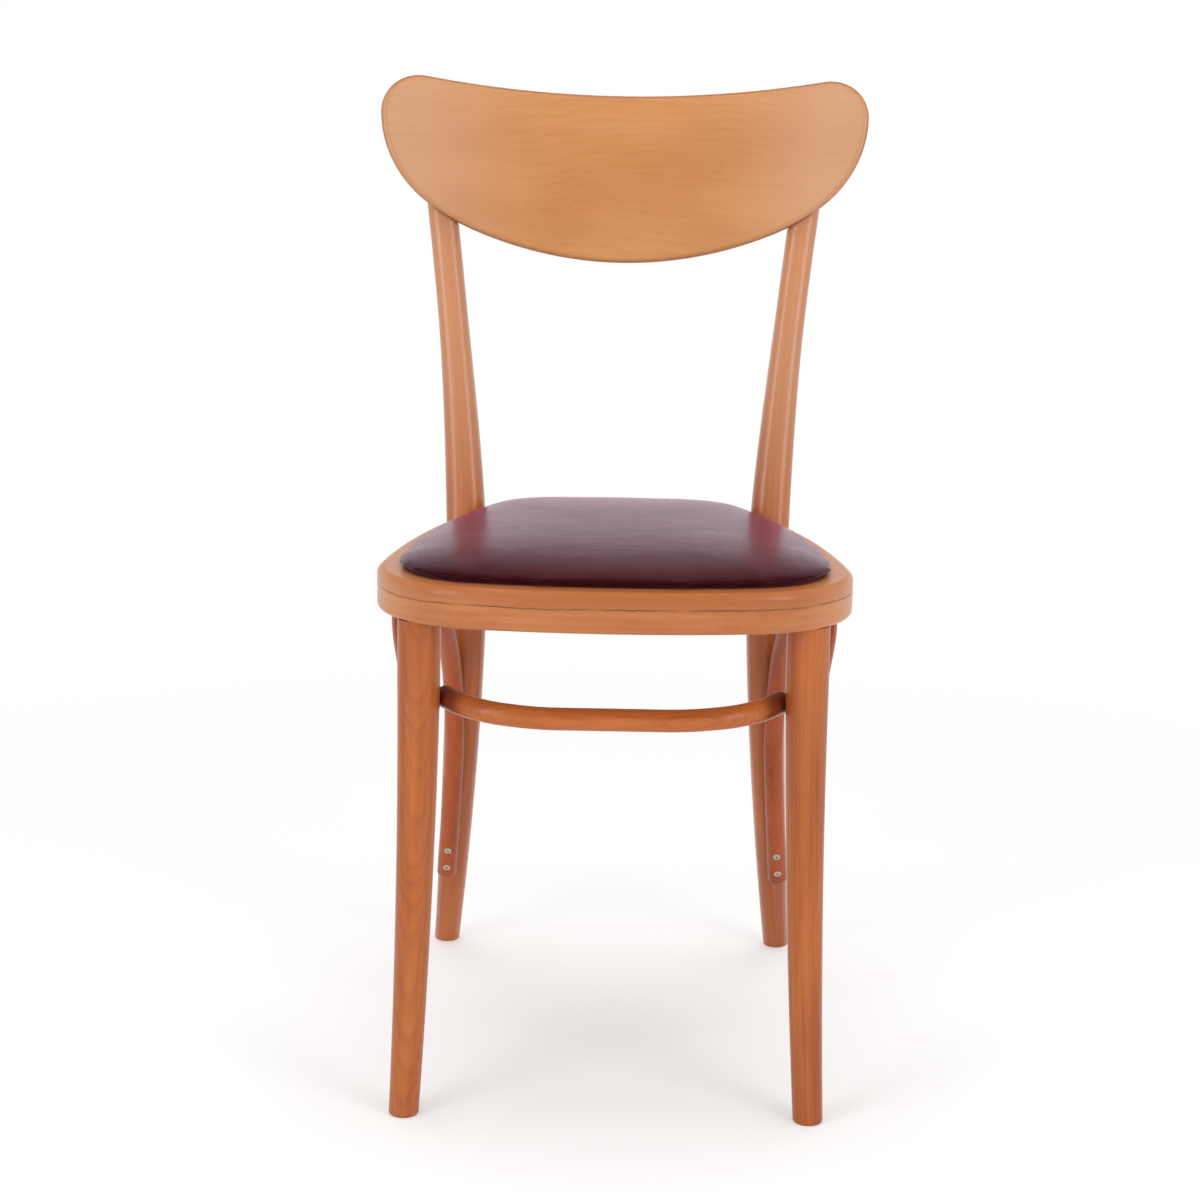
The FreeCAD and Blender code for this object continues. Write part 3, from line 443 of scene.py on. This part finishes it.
def plywood():
    look = Look("plywood")
    x, y, z = look.split(look.place)
    ply = look.sum("FRACT", look.times(look.minus(z, ring_top), 0.5 / PLY))
    layer = look.between(ply, 0.46, 0.54)
    grain = look.noise_of(look.times(x, 40.0), look.times(y, 900.0), look.times(z, 900.0), 3.0)
    band = look.noise_of(look.times(x, 4.0), look.times(y, 45.0), z)
    colour = look.mix(band, (0.62, 0.44, 0.26), (0.50, 0.32, 0.17))
    colour = look.mix(look.times(layer, 0.35), colour, (0.55, 0.42, 0.32), "MULTIPLY")
    colour = look.mix(look.times(grain, 0.5), colour, (0.7, 0.62, 0.5), "MULTIPLY")
    return look.finish(Base_Color=colour, Roughness=look.plus(look.times(grain, 0.2), 0.55),
                       Normal=look.bump(grain, 0.05 * MM))


def leather():
    look = Look("burgundy_leather")
    grain = look.cell_edges(look.place, 900.0)
    fine = look.noise(look.place, 2500.0, 2.0)
    pores = look.between(grain, 0.0, 0.16)
    cloud = look.noise(look.place, 22.0, 3.0)
    colour = look.mix(cloud, LEATHER_LIGHT, LEATHER_DARK)
    colour = look.mix(look.between(grain, 0.05, 0.0, 0.0, 0.4), colour, (0.5, 0.4, 0.45), "MULTIPLY")
    wide = look.bump(look.noise(look.place, 12.0, 2.0), 1.0 * MM)
    x, y, z = look.split(look.place)
    drawn = look.bump(look.noise_of(look.times(x, 10.0), look.times(y, 150.0), 0.0), 0.16 * MM, wide)
    skin = look.bump(look.plus(look.times(pores, 0.8), look.times(fine, 0.3)), 0.04 * MM, drawn)
    return look.finish(Base_Color=colour, Roughness=look.plus(look.times(fine, 0.08), 0.16), Normal=skin,
                       IOR=1.5, Specular_IOR_Level=0.29, Specular_Tint=(0.7, 0.3, 0.42), Sheen_Weight=0.3,
                       Sheen_Roughness=0.3, Sheen_Tint=(0.9, 0.16, 0.5))


def steel():
    look = Look("screw_steel")
    brush = look.noise(look.place, 1800.0, 3.0)
    tarnish = look.noise(look.place, 260.0, 2.0)
    colour = look.mix(tarnish, (0.62, 0.58, 0.54), (0.42, 0.38, 0.34))
    return look.finish(Base_Color=colour, Metallic=1.0, Roughness=look.plus(look.times(brush, 0.2), 0.22),
                       Normal=look.bump(brush, 0.01 * MM))


def dress(node, material):
    for slot in nodes[node].material_slots:
        slot.material = material


# The front legs' figures: a flame on the left one and streaks on the right one
FLAME = {"pith": (-0.1577, 0.158), "slant": (0.0, -0.085), "rings": 0.34, "streaks": 0.6, "wobble": 9 * MM}
STREAKED = {"pith": (-0.120, 0.19), "slant": (0.008, 0.01), "rings": 0.25, "streaks": 0.9}

for side, hand in ((1, "right"), (-1, "left")):
    dress("rear_leg_" + hand, rear_leg_beech("rear_leg_beech_" + hand, 1.3 + side, side))
    dress("front_leg_" + hand, rod_beech("front_leg_beech_" + hand, front_leg_space, 4.1 + side, side,
                                         **(STREAKED if side > 0 else FLAME)))
    # The side arches take their darker colours as painted shade under the seat.
    dress("side_arch_" + hand, rod_beech("side_arch_beech_" + hand, arch_space, 7.7 + side, side,
                                         light=ARCH_SHADED_LIGHT, dark=ARCH_SHADED_DARK))
dress("seat_ring", ring_beech())
dress("front_stretcher", stretcher_beech())
dress("backrest", backrest_veneer())
dress("seat_board", plywood())
screws = steel()
for node in nodes:
    if node.endswith(("screws", "bolts", "washers", "nuts")):
        dress(node, screws)


# The seat pad: the CAD solid remeshed, crowned as a stuffed seat is, blown up a little and subdivided.
# Its dome has a power and a root, and its roll hangs over the rim.

PAD_VOXEL = 4 * MM
PAD_START = 0.996
PAD_HEIGHT = 16.8 * MM
PAD_DOME = (2.6, 2.0)
PAD_EDGE = 6 * MM
PAD_OVERHANG = 12 * MM
OVERHANG_RISE = 4 * MM
OVERHANG_POWER = 5
PAD_TURNS = 180
PAD_SWELL_CAP = 2 * MM
PAD_PRESSURE = 4.0
PAD_FRAMES = 20
PAD_STIFFNESS = 30
CREASE = 1.5 * MM


def evaluated_mesh(piece):
    bpy.context.view_layer.update()
    shown = piece.evaluated_get(bpy.context.evaluated_depsgraph_get())
    return bpy.data.meshes.new_from_object(shown)


def baked(piece):
    mesh = evaluated_mesh(piece)
    piece.modifiers.clear()
    piece.data = mesh


def smoothed(piece, times):
    smooth = piece.modifiers.new("smooth", "SMOOTH")
    smooth.factor = 0.5
    smooth.iterations = times
    baked(piece)


def rim_reach(mesh, middle):
    """The rim's distance from the middle, in even turns round it."""
    rim = [v.co - middle for v in mesh.vertices if abs(v.co.z - ring_top) < PAD_VOXEL]
    reach = [0.0] * PAD_TURNS
    for co in rim:
        place = int(PAD_TURNS * (math.atan2(co.y, co.x) / (2 * math.pi) + 0.5)) % PAD_TURNS
        reach[place] = max(reach[place], math.hypot(co.x, co.y))
    return [sum(reach[(i + k) % PAD_TURNS] for k in (-1, 0, 1)) / 3 for i in range(PAD_TURNS)]


def crown(mesh, middle):
    """A dome by the share of the way from the middle to the rim, with a roll that hangs over the rim."""
    reach = rim_reach(mesh, middle)
    power, root = PAD_DOME
    for vertex in mesh.vertices:
        above = vertex.co.z - ring_top
        if above < CREASE:
            continue
        x, y = vertex.co.x - middle.x, vertex.co.y - middle.y
        place = PAD_TURNS * (math.atan2(y, x) / (2 * math.pi) + 0.5) - 0.5
        first, part = math.floor(place), place - math.floor(place)
        rim = reach[first % PAD_TURNS] * (1 - part) + reach[(first + 1) % PAD_TURNS] * part
        out = math.hypot(x, y)
        share = min(1, out / rim)
        inside = rim - out
        rise = PAD_HEIGHT * (1 - (1 - max(inside, PAD_EDGE) / rim) ** power) ** (1 / root)
        inner = min(1, max(0, inside / PAD_EDGE - 1))
        low = min(above, rise)
        vertex.co.z = ring_top + low + inner * (rise - low)
        push = PAD_OVERHANG * min(1, above / OVERHANG_RISE) * share ** OVERHANG_POWER / max(out, MM)
        vertex.co.x += x * push
        vertex.co.y += y * push


def swell(pad):
    start = [v.co.copy() for v in pad.data.vertices]
    held = pad.vertex_groups.new(name="held")
    held.add([i for i, co in enumerate(start) if co.z < ring_top + CREASE], 1.0, "REPLACE")
    cloth = pad.modifiers.new("cloth", "CLOTH")
    cloth.settings.use_pressure = True
    cloth.settings.uniform_pressure_force = PAD_PRESSURE
    cloth.settings.effector_weights.gravity = 0
    cloth.settings.vertex_group_mass = "held"
    cloth.settings.tension_stiffness = PAD_STIFFNESS
    cloth.settings.compression_stiffness = PAD_STIFFNESS
    for number in range(1, PAD_FRAMES + 1):
        scene.frame_set(number)
    swollen = evaluated_mesh(pad)
    for vertex, blown, first in zip(pad.data.vertices, swollen.vertices, start):
        move = blown.co - first
        vertex.co = first + move * min(1, PAD_SWELL_CAP / max(move.length, 1e-9))
    pad.modifiers.clear()
    scene.frame_set(1)


def make_pad():
    pad = bpy.data.objects.new("leather_pad", nodes["seat_pad"].data.copy())
    scene.collection.objects.link(pad)
    pad.data.materials.clear()
    low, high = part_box("seat_pad")
    middle = (low + high) / 2
    to_start = Matrix.Diagonal((PAD_START, PAD_START, 1, 1))
    pad.data.transform(Matrix.Translation(middle) @ to_start @ Matrix.Translation(-middle))
    remesh = pad.modifiers.new("remesh", "REMESH")
    remesh.mode = "VOXEL"
    remesh.voxel_size = PAD_VOXEL
    smoothed(pad, 4)
    crown(pad.data, middle)
    smoothed(pad, 6)
    swell(pad)
    smoothed(pad, 12)
    finer = pad.modifiers.new("finer", "SUBSURF")
    finer.levels = finer.render_levels = 1
    baked(pad)
    pad.data.shade_smooth()
    pad.data.materials.append(leather())
    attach(pad, "root")
    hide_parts("seat_pad")
    return pad


make_pad()


# Studio: a white floor that fades into a white surround, a dim ceiling and soft lamps

LAMP_AIM = (0, 0, 0.6)
FLOOR_RADIUS = 9.0
FLOOR_STEPS = 96
FLOOR_FADE = (0.7, 1.5)
FLOOR_GLOW = 0.365
FLOOR_SHADE = 0.645
SURROUND_LIGHT = 0.62
SWEEP_TOP = (0.24, 0.33)
CEILING = 0.09


def make_floor():
    turns = [2 * math.pi * i / FLOOR_STEPS for i in range(FLOOR_STEPS)]
    corners = [(FLOOR_RADIUS * math.cos(turn), FLOOR_RADIUS * math.sin(turn), 0) for turn in turns]
    mesh = bpy.data.meshes.new("studio_floor")
    mesh.from_pydata(corners, [], [list(range(FLOOR_STEPS))])
    floor = bpy.data.objects.new("studio_floor", mesh)
    scene.collection.objects.link(floor)
    look = Look("studio_white")
    look.finish(Base_Color=(0.8, 0.8, 0.8), Roughness=1.0, Specular_IOR_Level=0.0)
    x, y, z = look.split(look.place)
    far = look.between(look.length(x, y), *FLOOR_FADE)
    glow = look.add("ShaderNodeEmission")
    shade = look.add("ShaderNodeBsdfDiffuse")
    glow.inputs["Color"].default_value = (1, 1, 1, 1)
    look.feed(glow.inputs["Strength"], look.plus(look.times(far, 1 - FLOOR_GLOW), FLOOR_GLOW))
    look.feed(shade.inputs["Color"], look.mix(far, (FLOOR_SHADE,) * 3, (0, 0, 0)))
    both = look.add("ShaderNodeAddShader")
    look.feed(both.inputs[0], glow.outputs[0])
    look.feed(both.inputs[1], shade.outputs[0])
    choose = look.add("ShaderNodeMixShader")
    look.feed(choose.inputs[0], look.seen())
    look.feed(choose.inputs[1], look.shader.outputs[0])
    look.feed(choose.inputs[2], both.outputs[0])
    look.feed(look.output.inputs["Surface"], choose.outputs[0])
    mesh.materials.append(look.material)


def make_surround():
    """White behind everything; reflections see it up to the sweep's top and a dim ceiling above that."""
    world = bpy.data.worlds.new("studio_surround")
    scene.world = world
    world.use_nodes = True
    sky = Nodes(world.node_tree)
    x, y, z = sky.split(sky.add("ShaderNodeTexCoord").outputs["Generated"])
    path = sky.add("ShaderNodeLightPath")
    plain = sky.plus(path.outputs["Is Camera Ray"], path.outputs["Is Transmission Ray"])
    mirrored = sky.times(path.outputs["Is Glossy Ray"], sky.between(z, *SWEEP_TOP, 1.0, CEILING))
    unseen = sky.minus(1.0, sky.seen())
    back = sky.add("ShaderNodeBackground")
    back.inputs["Color"].default_value = (1, 1, 1, 1)
    strength = sky.plus(sky.plus(plain, mirrored), sky.times(unseen, SURROUND_LIGHT))
    sky.feed(back.inputs["Strength"], strength)
    sky.feed(sky.add("ShaderNodeOutputWorld").inputs["Surface"], back.outputs[0])


def softbox(name, place, width, height, watts, in_reflections=True):
    lamp = bpy.data.lights.new(name, "AREA")
    lamp.shape = "RECTANGLE"
    lamp.size, lamp.size_y = width, height
    lamp.energy = watts
    holder = bpy.data.objects.new(name, lamp)
    holder.location = place
    holder.rotation_euler = (Vector(LAMP_AIM) - Vector(place)).to_track_quat("-Z", "Y").to_euler()
    holder.visible_glossy = in_reflections
    scene.collection.objects.link(holder)


def make_camera():
    data = bpy.data.cameras.new("photo_camera")
    data.sensor_width = SENSOR
    data.lens = FOCAL_PIXELS / PHOTO_PIXELS * SENSOR
    camera = bpy.data.objects.new("photo_camera", data)
    right = CAMERA_FORWARD.cross(CAMERA_UP).normalized()
    up = right.cross(CAMERA_FORWARD).normalized()
    turn = Matrix((right, up, -CAMERA_FORWARD.normalized())).transposed()
    place = Vector((CAMERA_SIDE, ring_front - CAMERA_BEFORE_RING, CAMERA_HEIGHT))
    camera.matrix_world = Matrix.Translation(place) @ turn.to_4x4()
    scene.collection.objects.link(camera)
    scene.camera = camera


make_floor()
make_surround()
softbox("left_box", (-1.75, -1.95, 1.3), 1.1, 1.9, 22)
softbox("right_box", (1.75, -1.95, 1.3), 1.1, 1.9, 22)
softbox("top_box", (0, 0.2, 2.6), 1.8, 1.4, 22, in_reflections=False)
make_camera()
scene.view_settings.view_transform = "Standard"
